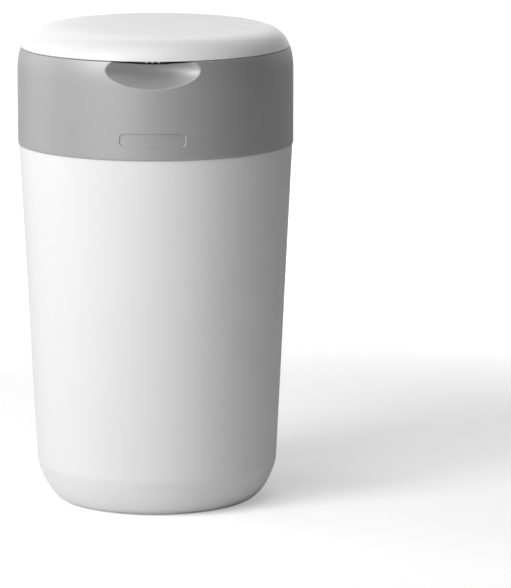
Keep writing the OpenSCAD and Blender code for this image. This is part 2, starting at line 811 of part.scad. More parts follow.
// Pleated film, packed in the ring between the core and the cassette's wall
module film_pack() {
    inner = core_r + core_t + 0.6;
    outer = cassette_wall_r - cassette_wall_t - 0.5;
    top_z = cassette_z + cassette_h - 3;
    pleats = 12;
    pleat_h = (top_z - cassette_z - 4) / pleats;
    pleat_depth = 1.6;
    color("white") rotate_extrude() polygon(concat(
        [[inner, cassette_z + 2], [outer - 2, cassette_z + 2]],
        [
            for (i = [0 : pleats - 1], k = [0, 1])
                [outer - pleat_depth * k, cassette_z + 3 + pleat_h * (i + k / 2)]
        ],
        [[outer - 2, top_z], [inner, top_z]]
    ));
}

module cutter_slider() {
    // An upside-down channel that straddles the rail
    legs = [rail_inner_r - 1.5, rail_inner_r - 0.3, rail_inner_r + rail_t + 0.3, rail_inner_r + rail_t + 2.2];
    color("orange") {
        ring_sector(legs[3], legs[0], rail_z + 0.3, rail_z + 2.3, cutter_arc, 270);
        ring_sector(legs[1], legs[0], rail_z - 4, rail_z + 1, cutter_arc, 270);
        ring_sector(legs[3], legs[2], rail_z - 4, rail_z + 1, cutter_arc, 270);
        ring_sector(legs[3], legs[0] + 1, rail_z + 2, rail_z + 7, 2.4, 270);
    }
}

// Blade whose broad end is set into the slider's inner leg
module cutter_blade() {
    tip_r = core_r + core_t + 1.4;
    broad_r = rail_inner_r - 0.7;
    color("silver") rotate([0, 0, 270]) translate([0, 0, rail_z - 0.8]) linear_extrude(0.6)
        polygon([[tip_r, -0.4], [broad_r, -6], [broad_r, 6]]);
}

tub();
tilt_hinge_pin();
top_housing();
cassette_holder();
film_clamp_plate();
housing_screws();
clamp_screws();
lid_hinge_pin();
ratchet_pawl();
flap_pins();
flap_front();
flap_back();
flap_left();
flap_right();
flap_spring_front();
flap_spring_back();
flap_spring_left();
flap_spring_right();
release_button_left();
release_button_right();
release_spring_left();
release_spring_right();
lid_shell();
lid_liner();
seal_carrier();
lid_seal();
twist_ring();
cutter_rail();
cassette_body();
cassette_cap();
film_pack();
cutter_slider();
cutter_blade();
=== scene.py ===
import json
import math

import bmesh
import bpy
from mathutils import Matrix, Vector, noise


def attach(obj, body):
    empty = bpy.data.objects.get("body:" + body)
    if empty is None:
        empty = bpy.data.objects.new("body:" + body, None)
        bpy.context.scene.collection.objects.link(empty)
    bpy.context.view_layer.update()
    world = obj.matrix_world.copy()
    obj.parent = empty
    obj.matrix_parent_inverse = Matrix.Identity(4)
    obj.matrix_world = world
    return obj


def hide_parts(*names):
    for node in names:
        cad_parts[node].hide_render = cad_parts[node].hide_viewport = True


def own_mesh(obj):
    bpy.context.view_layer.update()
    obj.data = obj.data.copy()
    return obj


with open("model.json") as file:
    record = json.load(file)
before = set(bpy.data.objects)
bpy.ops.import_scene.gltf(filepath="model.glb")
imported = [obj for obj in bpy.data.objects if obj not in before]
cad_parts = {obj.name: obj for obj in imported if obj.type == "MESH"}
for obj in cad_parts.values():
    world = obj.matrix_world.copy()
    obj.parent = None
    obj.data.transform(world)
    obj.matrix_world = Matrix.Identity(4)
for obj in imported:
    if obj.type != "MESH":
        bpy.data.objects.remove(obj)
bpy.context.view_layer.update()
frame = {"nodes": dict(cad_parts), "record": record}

# Sizes are in millimetres and meshes are scaled to metres when they are made.
# Front is -Y. Turns are in degrees, counter-clockwise seen from above: a profile's turn starts at the front,
# and turned() starts from where the mesh was made, which is at +X unless a comment says otherwise.
MM = 0.001

# ---- camera ----
PHOTO_SIZE = (511, 588)
FOCAL_PX = 4567.7
CAMERA_DISTANCE = 4.2072
CAMERA_PITCH = math.radians(10.03)
CAMERA_AIM = Vector((0.09126, 0, 0.1885))


def make_camera():
    data = bpy.data.cameras.new("camera")
    data.lens = FOCAL_PX * data.sensor_width / max(PHOTO_SIZE)
    data.clip_start, data.clip_end = 0.1, 100
    camera = bpy.data.objects.new("camera", data)
    bpy.context.scene.collection.objects.link(camera)
    back = Vector((0, -math.cos(CAMERA_PITCH), math.sin(CAMERA_PITCH)))
    camera.location = CAMERA_AIM + back * CAMERA_DISTANCE
    camera.rotation_euler = (math.pi / 2 - CAMERA_PITCH, 0, 0)
    bpy.context.scene.camera = camera


# ---- studio ----
LIGHT_AIM_Z = 0.2


def area_light(name, azimuth, elevation, distance, size, strength):
    """Softbox that faces the middle of the bin, azimuth degrees from the front, with minus to the left."""
    data = bpy.data.lights.new(name, "AREA")
    data.shape = "RECTANGLE"
    data.size, data.size_y = size
    data.energy = strength * size[0] * size[1] * math.pi
    light = bpy.data.objects.new(name, data)
    bpy.context.scene.collection.objects.link(light)
    a, e = math.radians(azimuth), math.radians(elevation)
    way = Vector((math.sin(a) * math.cos(e), -math.cos(a) * math.cos(e), math.sin(e)))
    light.location = way * distance + Vector((0, 0, LIGHT_AIM_Z))
    light.rotation_euler = way.to_track_quat("Z", "Y").to_euler()


def math_node(nodes, operation):
    node = nodes.new("ShaderNodeMath")
    node.operation = operation
    return node


def smooth_ramp(nodes, source, target=(0, 1)):
    """Map Range node: its result goes smoothly through target while its value goes through source."""
    node = nodes.new("ShaderNodeMapRange")
    node.interpolation_type = "SMOOTHSTEP"
    node.inputs["From Min"].default_value, node.inputs["From Max"].default_value = source
    node.inputs["To Min"].default_value, node.inputs["To Max"].default_value = target
    return node


def link_all(owner, *pairs):
    """Links pairs of an output and an input among the nodes of a world or material."""
    for output, socket in pairs:
        owner.node_tree.links.new(output, socket)


def make_world(low, high):
    """Dim walls with strength low and a brighter ceiling with strength high.

    The camera sees plain white instead, and gloss reflects a white backdrop that stands behind the object.
    """
    ceiling_z, backdrop_y = (0.25, 0.5), (0.1, 0.7)
    world = bpy.data.worlds.new("studio")
    bpy.context.scene.world = world
    world.use_nodes = True
    nodes = world.node_tree.nodes
    nodes.clear()
    out = nodes.new("ShaderNodeOutputWorld")
    mix = nodes.new("ShaderNodeMixShader")
    place = nodes.new("ShaderNodeTexCoord")
    split = nodes.new("ShaderNodeSeparateXYZ")
    ceiling = smooth_ramp(nodes, ceiling_z, (low, high))
    backdrop = smooth_ramp(nodes, backdrop_y)
    soft = nodes.new("ShaderNodeBackground")
    white = nodes.new("ShaderNodeBackground")
    path = nodes.new("ShaderNodeLightPath")
    reflected = math_node(nodes, "MULTIPLY")
    direct = math_node(nodes, "MAXIMUM")
    seen = math_node(nodes, "MAXIMUM")
    for background in (soft, white):
        background.inputs["Color"].default_value = (1, 1, 1, 1)
    white.inputs["Strength"].default_value = 1
    link_all(
        world,
        (place.outputs["Generated"], split.inputs[0]),
        (split.outputs["Z"], ceiling.inputs["Value"]),
        (split.outputs["Y"], backdrop.inputs["Value"]),
        (ceiling.outputs["Result"], soft.inputs["Strength"]),
        (path.outputs["Is Glossy Ray"], reflected.inputs[0]),
        (backdrop.outputs["Result"], reflected.inputs[1]),
        (path.outputs["Is Camera Ray"], direct.inputs[0]),
        (path.outputs["Is Transmission Ray"], direct.inputs[1]),
        (direct.outputs[0], seen.inputs[0]),
        (reflected.outputs[0], seen.inputs[1]),
        (seen.outputs[0], mix.inputs["Fac"]),
        (soft.outputs[0], mix.inputs[1]),
        (white.outputs[0], mix.inputs[2]),
        (mix.outputs[0], out.inputs["Surface"]),
    )


def make_floor(half_size, shade, glow):
    """White floor that keeps the shadow: a diffuse surface plus light that only the camera sees.

    The light goes from glow[0] near the object to glow[1] beyond the reach of its shadow.
    """
    shadow_reach = (0.5, 1.3)
    mesh = bpy.data.meshes.new("floor")
    corners = [(x * half_size, y * half_size, 0) for x, y in ((-1, -1), (1, -1), (1, 1), (-1, 1))]
    mesh.from_pydata(corners, [], [(0, 1, 2, 3)])
    floor = bpy.data.objects.new("floor", mesh)
    bpy.context.scene.collection.objects.link(floor)
    material = bpy.data.materials.new("floor_white")
    material.use_nodes = True
    nodes = material.node_tree.nodes
    nodes.clear()
    out = nodes.new("ShaderNodeOutputMaterial")
    add = nodes.new("ShaderNodeAddShader")
    diffuse = nodes.new("ShaderNodeBsdfDiffuse")
    diffuse.inputs["Color"].default_value = (shade, shade, shade, 1)
    emission = nodes.new("ShaderNodeEmission")
    path = nodes.new("ShaderNodeLightPath")
    place = nodes.new("ShaderNodeTexCoord")
    distance = nodes.new("ShaderNodeVectorMath")
    distance.operation = "LENGTH"
    fade = smooth_ramp(nodes, shadow_reach, glow)
    scale = math_node(nodes, "MULTIPLY")
    link_all(
        material,
        (place.outputs["Object"], distance.inputs[0]),
        (distance.outputs["Value"], fade.inputs["Value"]),
        (path.outputs["Is Camera Ray"], scale.inputs[0]),
        (fade.outputs["Result"], scale.inputs[1]),
        (scale.outputs[0], emission.inputs["Strength"]),
        (diffuse.outputs[0], add.inputs[0]),
        (emission.outputs[0], add.inputs[1]),
        (add.outputs[0], out.inputs["Surface"]),
    )
    mesh.materials.append(material)


# ---- materials ----
FLOW_SCALE = 9  # flow marks per metre
GLOSS_SPREAD = 0.06
GRAIN_DEPTH = 0.05 * MM


def plastic(name, colour, roughness, grain=0.12, grain_size=0.35, metallic=0.0, tone=0.02):
    """Moulded plastic: a spark-eroded grain, and faint flow marks in colour and gloss."""
    material = bpy.data.materials.new(name)
    material.use_nodes = True
    nodes = material.node_tree.nodes
    bsdf = nodes["Principled BSDF"]
    bsdf.inputs["Metallic"].default_value = metallic
    place = nodes.new("ShaderNodeTexCoord")
    flow = nodes.new("ShaderNodeTexNoise")
    flow.inputs["Scale"].default_value = FLOW_SCALE
    flow.inputs["Detail"].default_value = 3
    shade = nodes.new("ShaderNodeMix")
    shade.data_type = "RGBA"
    shade.inputs["A"].default_value = (*[c * (1 - tone) for c in colour], 1)
    shade.inputs["B"].default_value = (*[min(c * (1 + tone), 1) for c in colour], 1)
    gloss = nodes.new("ShaderNodeMapRange")
    gloss.inputs["To Min"].default_value = roughness * (1 - GLOSS_SPREAD)
    gloss.inputs["To Max"].default_value = roughness * (1 + GLOSS_SPREAD)
    pits = nodes.new("ShaderNodeTexNoise")
    pits.inputs["Scale"].default_value = 1 / (grain_size * MM)
    pits.inputs["Detail"].default_value = 2
    bump = nodes.new("ShaderNodeBump")
    bump.inputs["Strength"].default_value = grain
    bump.inputs["Distance"].default_value = GRAIN_DEPTH
    link_all(
        material,
        (place.outputs["Object"], flow.inputs["Vector"]),
        (place.outputs["Object"], pits.inputs["Vector"]),
        (flow.outputs["Fac"], shade.inputs["Factor"]),
        (flow.outputs["Fac"], gloss.inputs["Value"]),
        (shade.outputs["Result"], bsdf.inputs["Base Color"]),
        (gloss.outputs["Result"], bsdf.inputs["Roughness"]),
        (pits.outputs["Fac"], bump.inputs["Height"]),
        (bump.outputs["Normal"], bsdf.inputs["Normal"]),
    )
    return material


def steel(name, colour, roughness):
    """Drawn wire or rod: fine scratches in the gloss."""
    return plastic(name, colour, roughness, grain=0.05, grain_size=0.2, metallic=1.0, tone=0.05)


# ---- shapes ----
MERGE_DISTANCE = 1e-7
SHARP_ANGLE = 35  # degrees between two faces, above which their edge counts as sharp


def smooth_min(a, b, width):
    """The lesser of a and b, blended where they are within width of each other, which rounds the edge."""
    near = max(width - abs(a - b), 0) / width
    return min(a, b) - near * near * width / 4


def soft_step(value, edge):
    """0 below -edge / 2 and 1 above edge / 2, smooth between."""
    t = min(max(value / edge + 0.5, 0), 1)
    return t * t * (3 - 2 * t)


def rounded(points, steps=4):
    """Closed outline with round corners: a point is (x, y) or (x, y, radius)."""
    out = []
    for i, point in enumerate(points):
        here = Vector(point[:2])
        if len(point) < 3:
            out.append(tuple(here))
            continue
        to_prev = Vector(points[i - 1][:2]) - here
        to_next = Vector(points[(i + 1) % len(points)][:2]) - here
        half = to_prev.angle(to_next) / 2
        reach = min(point[2] / math.tan(half), to_prev.length * 0.49, to_next.length * 0.49)
        radius = reach * math.tan(half)
        centre = here + (to_prev.normalized() + to_next.normalized()).normalized() * (radius / math.sin(half))
        start = here + to_prev.normalized() * reach - centre
        end = here + to_next.normalized() * reach - centre
        turn = start.angle_signed(end)
        for k in range(steps + 1):
            a = -turn * k / steps
            out.append((centre.x + start.x * math.cos(a) - start.y * math.sin(a),
                        centre.y + start.x * math.sin(a) + start.y * math.cos(a)))
    return out


def new_object(vertices, faces):
    """Solid of points in millimetres. It has no name of its own until piece() gives it one."""
    mesh = bpy.data.meshes.new("solid")
    mesh.from_pydata([(x * MM, y * MM, z * MM) for x, y, z in vertices], [], faces)
    made = bmesh.new()
    made.from_mesh(mesh)
    bmesh.ops.remove_doubles(made, verts=made.verts, dist=MERGE_DISTANCE)
    bmesh.ops.dissolve_degenerate(made, edges=made.edges, dist=MERGE_DISTANCE)
    bmesh.ops.recalc_face_normals(made, faces=made.faces)
    made.to_mesh(mesh)
    made.free()
    obj = bpy.data.objects.new("solid", mesh)
    bpy.context.scene.collection.objects.link(obj)
    return obj


def lathe(profile, turns):
    """Closed surface of revolution.

    profile is a closed outline of (r, z), or a function of the turn that gives one.
    """
    shape = profile if callable(profile) else lambda turn: profile
    vertices = []
    for turn in turns:
        a = math.radians(turn)
        vertices += [(r * math.sin(a), -r * math.cos(a), z) for r, z in shape(turn)]
    n = len(vertices) // len(turns)
    faces = []
    for i in range(len(turns)):
        a, b = i * n, (i + 1) % len(turns) * n
        faces += [(a + k, a + (k + 1) % n, b + (k + 1) % n, b + k) for k in range(n)]
    return new_object(vertices, faces)


def even_turns(count):
    return [360 * i / count for i in range(count)]


def prism(outline, low, high, matrix=None):
    """Outline of (x, y) drawn out from z = low to z = high, then moved by matrix."""
    n = len(outline)
    points = [Vector((x, y, z)) for z in (low, high) for x, y in outline]
    if matrix:
        points = [matrix @ p for p in points]
    faces = [tuple(range(n)), tuple(range(n, 2 * n))]
    faces += [(k, (k + 1) % n, n + (k + 1) % n, n + k) for k in range(n)]
    return new_object(points, faces)


def block(low, high):
    outline = [(low[0], low[1]), (high[0], low[1]), (high[0], high[1]), (low[0], high[1])]
    return prism(outline, low[2], high[2])


CYLINDER_Z = (290, 450)
# The outline's x and y become y and z, and it is drawn along x
ALONG_X = Matrix(((0, 0, 1), (1, 0, 0), (0, 1, 0))).to_4x4()


def circle(r, cx=0.0, cy=0.0, steps=48):
    return [(cx + r * math.cos(2 * math.pi * i / steps), cy + r * math.sin(2 * math.pi * i / steps))
            for i in range(steps)]


def rectangle(w, h, corner, cx=0.0, cy=0.0, steps=6):
    return rounded([(cx - w / 2, cy - h / 2, corner), (cx + w / 2, cy - h / 2, corner),
                    (cx + w / 2, cy + h / 2, corner), (cx - w / 2, cy + h / 2, corner)], steps)


def x_rod(r, x0, x1, y, z):
    return prism(circle(r, y, z), x0, x1, ALONG_X)


def cylinder(r, steps):
    """Tool about the bin's axis, taller than the band."""
    return prism(circle(r, steps=steps), *CYLINDER_Z)


def applied(obj):
    """Replaces the object's mesh by what its modifiers make of it."""
    depsgraph = bpy.context.evaluated_depsgraph_get()
    result = bpy.data.meshes.new_from_object(obj.evaluated_get(depsgraph))
    obj.modifiers.clear()
    old, obj.data = obj.data, result
    bpy.data.meshes.remove(old)
    return obj


def combine(base, operation, *tools):
    """Adds tools to base, takes them out of it, or keeps what they share. The tools are used up."""
    for tool in tools:
        modifier = base.modifiers.new("solid", "BOOLEAN")
        modifier.operation, modifier.solver, modifier.object = operation, "MANIFOLD", tool
        applied(base)
        old = tool.data
        bpy.data.objects.remove(tool)
        bpy.data.meshes.remove(old)
    return base


def bevelled(obj, width, steps=3):
    """Rounds the sharp edges."""
    modifier = obj.modifiers.new("edge", "BEVEL")
    modifier.width, modifier.segments = width * MM, steps
    modifier.limit_method, modifier.angle_limit = "ANGLE", math.radians(SHARP_ANGLE)
    return applied(obj)


def turned(obj, turn):
    """Turns a mesh about the bin's axis, counter-clockwise seen from above."""
    obj.data.transform(Matrix.Rotation(math.radians(turn), 4, "Z"))
    return obj


def mirrored(obj):
    """Copy of a tool on the other side of the middle plane."""
    mesh = obj.data.copy()
    mesh.transform(Matrix.Diagonal((-1, 1, 1, 1)))
    mesh.flip_normals()
    copy = bpy.data.objects.new("solid", mesh)
    bpy.context.scene.collection.objects.link(copy)
    return copy


def piece(obj, name, body, slot, material, *nodes, sharp_angle=SHARP_ANGLE):
    """Names a finished piece, smooths all but its sharp edges and puts it on its body."""
    obj.name = obj.data.name = name
    obj.data.shade_smooth()
    obj.data.set_sharp_from_angle(angle=math.radians(sharp_angle))
    obj.data.materials.clear()
    obj.data.materials.append(material)
    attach(obj, body)
    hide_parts(*nodes)
    return obj


def spaced(low, high, step):
    """Even values from low to high, both included, at most step apart."""
    count = max(1, math.ceil((high - low) / step))
    return [low + (high - low) * i / count for i in range(count + 1)]


# ---- the object's main sizes, the same as the CAD model's ----
BAND_R = 126
TOTAL_H = 439
BAND_Z = 330.5  # the band's lower edge
SEAM_Z = 418.5
SEAM_GAP = 0.4
WALL = 2.6
DOME_Z = 395
DOME_H = TOTAL_H - DOME_Z
DOME_SQUARE, DOME_SOFT = 10, 2.4  # powers of the dome's curve, across and up
DECK_Z = 412
DECK_HOLE_R = 96
RIM_INNER_R = 120.3
FAR_Y = 132  # beyond the skin, for tools that cut through it
PIN_HOLE_R = 2.05
SCREW_TURNS = (45, 135, 225, 315)
LID_HINGE_Y, LID_HINGE_Z = 119, 411.5
LID_BARREL_R = 4.6
LID_NOTCH_X, LID_NOTCH_Z = 32, 403
LID_LUG_X = 7.5
POCKET_Y, POCKET_WALL = 105, 2.2
TILT_Y, TILT_Z = 121.9, 327
TILT_BARREL_R = 4
TILT_NOTCH_X, TILT_NOTCH_Z = 33.5, 320.5
TILT_MIDDLE_X = 21.5
TILT_WALL_Y = 116.5
TILT_NOTCH_GAP = 6  # room in the band above the hinge pin
BUTTON_Z, BUTTON_W, BUTTON_H = 351, 31, 13
BUTTON_CUT_X = 110  # inside the skin, where the tools for the buttons and their windows start


def dome_r(z, inset=0.0):
    """Radius of the shoulder and lid at height z."""
    if z <= DOME_Z:
        return BAND_R - inset
    up = (z - DOME_Z) / (DOME_H - inset)
    return (BAND_R - inset) * (1 - up ** DOME_SOFT) ** (1 / DOME_SQUARE)


def dome_z(r, inset=0.0):
    """Height of the lid's surface at radius r."""
    out = r / (BAND_R - inset)
    return DOME_Z + (DOME_H - inset) * (1 - out ** DOME_SQUARE) ** (1 / DOME_SOFT)


# ---- lid ----
LID_WALL = 2.4
LID_LIFT = 0.2  # the seam is this much wider than in the CAD model, so that it shows
DOME_ROWS, DOME_CROWDING = 56, 2.4
LID_KNUCKLE_MAX_R = 122.4
LIP_RIB_X, LIP_RIB_HALF_W, LIP_RIB_Y, LIP_RIB_DROP = (-5.5, 0, 5.5), 0.9, (-122.2, -119.8), 1.3


def dome_radii(edge_r):
    """Radii from the middle out to the edge, closest together near the edge."""
    return [edge_r * (1 - (1 - i / DOME_ROWS) ** DOME_CROWDING) for i in range(DOME_ROWS + 1)]


def make_lid():
    low_z = SEAM_Z + SEAM_GAP + LID_LIFT
    low_r, in_r = dome_r(low_z), dome_r(low_z, LID_WALL)
    outer = [(r, dome_z(r)) for r in dome_radii(low_r)[:-1]]
    edge = [(low_r - 0.02, low_z + 0.35), (low_r - 0.15, low_z + 0.1), (low_r - 0.4, low_z)]
    inner = [(r, dome_z(r, LID_WALL)) for r in dome_radii(in_r)[::-1]]
    lid = lathe(outer + edge + inner, even_turns(288))
    # Hinge knuckles under the back edge, kept inside the dome
    inside = [(r, dome_z(r) - 0.3) for r in spaced(0, 122, 6)[::-1]]
    under_dome = [(0, DOME_Z), (LID_KNUCKLE_MAX_R, DOME_Z), (LID_KNUCKLE_MAX_R, low_z)] + inside
    knuckle_x = (LID_LUG_X + 0.7, LID_NOTCH_X - 0.8)
    knuckle = x_rod(LID_BARREL_R, *knuckle_x, LID_HINGE_Y, LID_HINGE_Z)
    web = block((knuckle_x[0], LID_HINGE_Y - 3.4, LID_HINGE_Z),
                (knuckle_x[1], LID_HINGE_Y + 3, LID_HINGE_Z + 14))
    combine(knuckle, "UNION", web)
    bevelled(knuckle, 0.5, 2)
    combine(knuckle, "INTERSECT", lathe(under_dome, even_turns(120)))
    combine(lid, "UNION", mirrored(knuckle), knuckle)
    # Small ribs under the front lip for the fingertips
    for x in LIP_RIB_X:
        rib = block((x - LIP_RIB_HALF_W, LIP_RIB_Y[0], low_z - LIP_RIB_DROP),
                    (x + LIP_RIB_HALF_W, LIP_RIB_Y[1], low_z + 1))
        combine(lid, "UNION", bevelled(rib, 0.3, 2))
    return combine(lid, "DIFFERENCE", x_rod(PIN_HOLE_R, -LID_NOTCH_X, LID_NOTCH_X, LID_HINGE_Y, LID_HINGE_Z))


# ---- inside of the lid ----
SEAL_R = (98, 101.6)
SEAL_GAP = 0.4
LINER_R = 112
LINER_Z = 427
LINER_T = 1.8
LINER_DISH_R, LINER_DISH_H = 61, 0.5
LINER_STUD_R, LINER_STUD_AT, LINER_STUD_TOP_Z = 3, 70, 436.4
CARRIER_LOW_Z, CARRIER_WALL = 416, 1.5
CARRIER_GROOVE_Z = LINER_Z - 5


def make_liner():
    """Disc that closes the lid from below, with a shallow dish pressed into it, on four studs."""
    dish_z, top_z = LINER_Z + LINER_DISH_H, LINER_Z + LINER_T
    profile = rounded([
        (0, dish_z), (LINER_DISH_R - 1, dish_z, 3), (LINER_DISH_R + 1, LINER_Z, 3),
        (LINER_R, LINER_Z, 0.6), (LINER_R, top_z, 0.6), (0, top_z)])
    liner = lathe(profile, even_turns(192))
    for turn in SCREW_TURNS:
        stud = prism(circle(LINER_STUD_R, LINER_STUD_AT), LINER_Z + 1, LINER_STUD_TOP_Z)
        combine(liner, "UNION", turned(stud, turn))
    return liner


def make_seal_carrier():
    """Ring under the liner whose groove holds the seal."""
    inner_r, outer_r = SEAL_R[0] - SEAL_GAP, SEAL_R[1] + SEAL_GAP
    profile = rounded([
        (inner_r - CARRIER_WALL, LINER_Z), (inner_r - CARRIER_WALL, CARRIER_LOW_Z, 0.6),
        (inner_r, CARRIER_LOW_Z, 0.6), (inner_r, CARRIER_GROOVE_Z),
        (outer_r, CARRIER_GROOVE_Z), (outer_r, CARRIER_LOW_Z, 0.6),
        (outer_r + CARRIER_WALL, CARRIER_LOW_Z, 0.6), (outer_r + CARRIER_WALL, LINER_Z)])
    return lathe(profile, even_turns(192))


def make_seal():
    """Lip seal: a stem with two barbs, and a round bead just above the deck."""
    mid, half = sum(SEAL_R) / 2, (SEAL_R[1] - SEAL_R[0]) / 2
    neck = half - 0.5
    low_z, top_z = DECK_Z + 2, CARRIER_GROOVE_Z - 0.1
    bead = [(mid + half * math.sin(math.radians(a)), low_z - half * math.cos(math.radians(a)))
            for a in range(-80, 81, 10)]
    stem = [(neck, low_z + 1), (neck, low_z + 3), (half, low_z + 3.6), (neck, low_z + 5), (neck, top_z)]
    right = [(mid + across, z) for across, z in stem]
    left = [(mid - across, z) for across, z in reversed(stem)]
    return lathe(bead + right + left, even_turns(192))


# ---- band ----
SCOOP_HALF_W = 43.4
SCOOP_DEPTH = 19
SCOOP_Z = 411.7
SCOOP_DROP = 17.4
SCOOP_WALL = 2.2
SCOOP_HUB = (BAND_R ** 2 - (BAND_R - SCOOP_DEPTH) ** 2) / (
    2 * (math.sqrt(BAND_R ** 2 - SCOOP_HALF_W ** 2) - BAND_R + SCOOP_DEPTH))
SCOOP_EDGE = 1.3
BADGE_W, BADGE_H, BADGE_Z, BADGE_DEPTH, BADGE_CORNER, BADGE_EDGE = 59.2, 12.2, 348.5, 0.8, 4.4, 0.4
RELIEF_DROP, RELIEF_HALF_W = (0.5, 3.2), 37
BOSS_R, BOSS_HOLE_R, BOSS_AT, BOSS_LOW_Z = 4, 1.55, 106, 400.5
HOLE_STEP, HOLE_STEP_Z = 2, 404
DECK_LOW_Z = 409.6
SHOULDER_THICK_Z, SHOULDER_THICKENING = 402, 0.54
FAR = 1e6


def from_front(turn):
    """Turn in radians, between -pi and pi."""
    return math.radians((turn + 180) % 360 - 180)


def scoop_reach(turn, z, extra):
    """Distance from the bin's axis to the scoop's face, which is round in plan about a hub before the bin.

    extra moves the face back, to make the inside of the scoop's wall.
    """
    r = SCOOP_HUB - BAND_R + (SCOOP_DEPTH + extra) * (1 - ((z - SCOOP_Z) / (SCOOP_DROP + extra)) ** 2)
    a = from_front(turn)
    across = SCOOP_HUB * math.sin(a)
    if abs(a) > 1 or r <= abs(across):
        return FAR
    return SCOOP_HUB * math.cos(a) - math.sqrt(r * r - across * across)


def badge_dip(turn, z):
    """Depth of the bare badge recess, with a soft edge."""
    x = BAND_R * math.sin(from_front(turn))
    dx = max(abs(x) - BADGE_W / 2 + BADGE_CORNER, 0)
    dz = max(abs(z - BADGE_Z) - BADGE_H / 2 + BADGE_CORNER, 0)
    outside = math.hypot(dx, dz) - BADGE_CORNER
    return BADGE_DEPTH * soft_step(-outside, BADGE_EDGE)


# Heights of the outer skin's rows, closest together at the badge and the scoop
OUTER_ROWS = (spaced(331.2, 341, 2) + spaced(341.3, 357.3, 0.32)
              + spaced(359, 391, 2.5) + spaced(391.5, SEAM_Z - 0.5, 0.36))


def band_profile(turn):
    rim_z = SEAM_Z
    across = abs(BAND_R * math.sin(from_front(turn)))
    if across < RELIEF_HALF_W + 2 and math.cos(math.radians(turn)) > 0:
        relief = RELIEF_DROP[0] + RELIEF_DROP[1] * (1 - (across / RELIEF_HALF_W) ** 2)
        rim_z -= relief * soft_step(RELIEF_HALF_W - across, 3)

    def lowered(z):
        """Height z brought down with the rim, which leaves the dark slit under the lid's lip."""
        return z if z < DECK_Z else DECK_Z + (z - DECK_Z) * (rim_z - DECK_Z) / (SEAM_Z - DECK_Z)

    def outer(z, inset=0.0):
        r = smooth_min(dome_r(z), scoop_reach(turn, z, 0), SCOOP_EDGE) - inset
        return r - badge_dip(turn, z) if abs(z - BADGE_Z) < BADGE_H else r

    def inner(z, plain):
        return min(plain, scoop_reach(turn, z, SCOOP_WALL))

    lower_edge = [(BAND_R - WALL, BAND_Z), (BAND_R - 0.6, BAND_Z), (BAND_R - 0.18, BAND_Z + 0.2)]
    skin = [(outer(lowered(z)), lowered(z)) for z in OUTER_ROWS]
    rim = [(outer(rim_z, 0.15), rim_z - 0.15), (outer(rim_z, 0.5), rim_z),
           (inner(rim_z - 0.3, RIM_INNER_R) + 0.3, rim_z)]
    rim_inside = [(inner(lowered(z), RIM_INNER_R - 0.09 * (SEAM_Z - z)), lowered(z))
                  for z in spaced(DECK_Z + 0.4, SEAM_Z - 0.3, 1)[::-1]]
    step_r = DECK_HOLE_R + HOLE_STEP
    deck = [(inner(DECK_Z, RIM_INNER_R - 0.6) - 0.4, DECK_Z), (DECK_HOLE_R + 0.5, DECK_Z),
            (DECK_HOLE_R + 0.15, DECK_Z - 0.15), (DECK_HOLE_R, DECK_Z - 0.5), (DECK_HOLE_R, HOLE_STEP_Z),
            (step_r, HOLE_STEP_Z), (step_r, DECK_LOW_Z), (inner(DECK_LOW_Z, RIM_INNER_R - 1), DECK_LOW_Z)]
    inside = [(inner(z, BAND_R - WALL - max(z - SHOULDER_THICK_Z, 0) * SHOULDER_THICKENING), z)
              for z in spaced(389, 408.9, 1)[::-1]]
    return lower_edge + skin + rim + rim_inside + deck + inside


